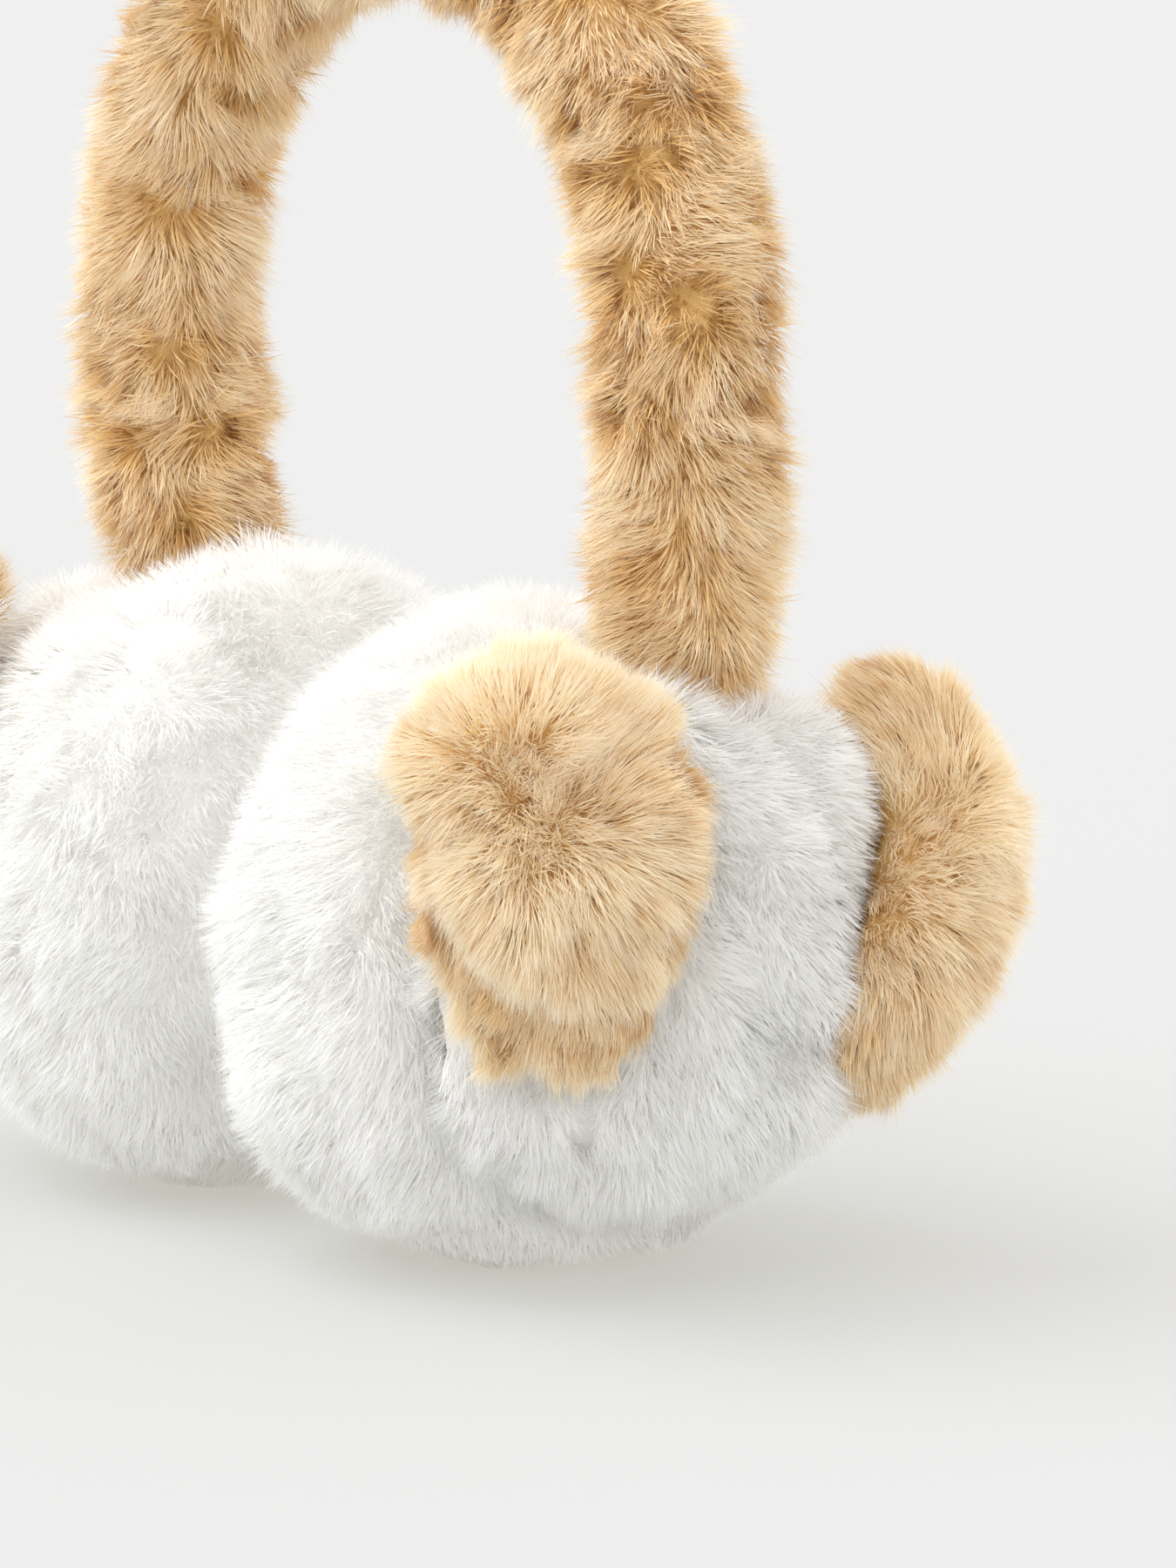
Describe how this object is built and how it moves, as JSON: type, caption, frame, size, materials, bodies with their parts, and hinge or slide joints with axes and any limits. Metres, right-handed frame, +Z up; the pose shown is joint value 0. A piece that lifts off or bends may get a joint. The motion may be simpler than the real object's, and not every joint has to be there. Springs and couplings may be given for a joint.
{
  "type": "fur earmuffs",
  "caption": "Fluffy earmuffs: a furred arched headband with thick round plush cups, each with floppy plush ears on its front and back shoulders.",
  "frame": {"origin": "on the floor midway between the cups, at the middle of the outline seen from above", "axes": "+Z up along the headband's height, +X from the left cup to the right cup, -Y towards the front"},
  "size_m": [0.2436, 0.1503, 0.2616],
  "materials": {
    "white_fur": "soft white faux fur, long fine pile",
    "tan_fur": "golden beige faux fur, darker at the roots, cream at the tips"
  },
  "bodies": {
    "root": {"headband": "tan_fur", "ear_pad_right": "white_fur", "ear_pad_left": "white_fur", "cup_cover_right": "white_fur", "cup_cover_left": "white_fur", "plush_ear_right_front": "tan_fur", "plush_ear_right_back": "tan_fur", "plush_ear_left_front": "tan_fur", "plush_ear_left_back": "tan_fur"}
  },
  "joints": []
}
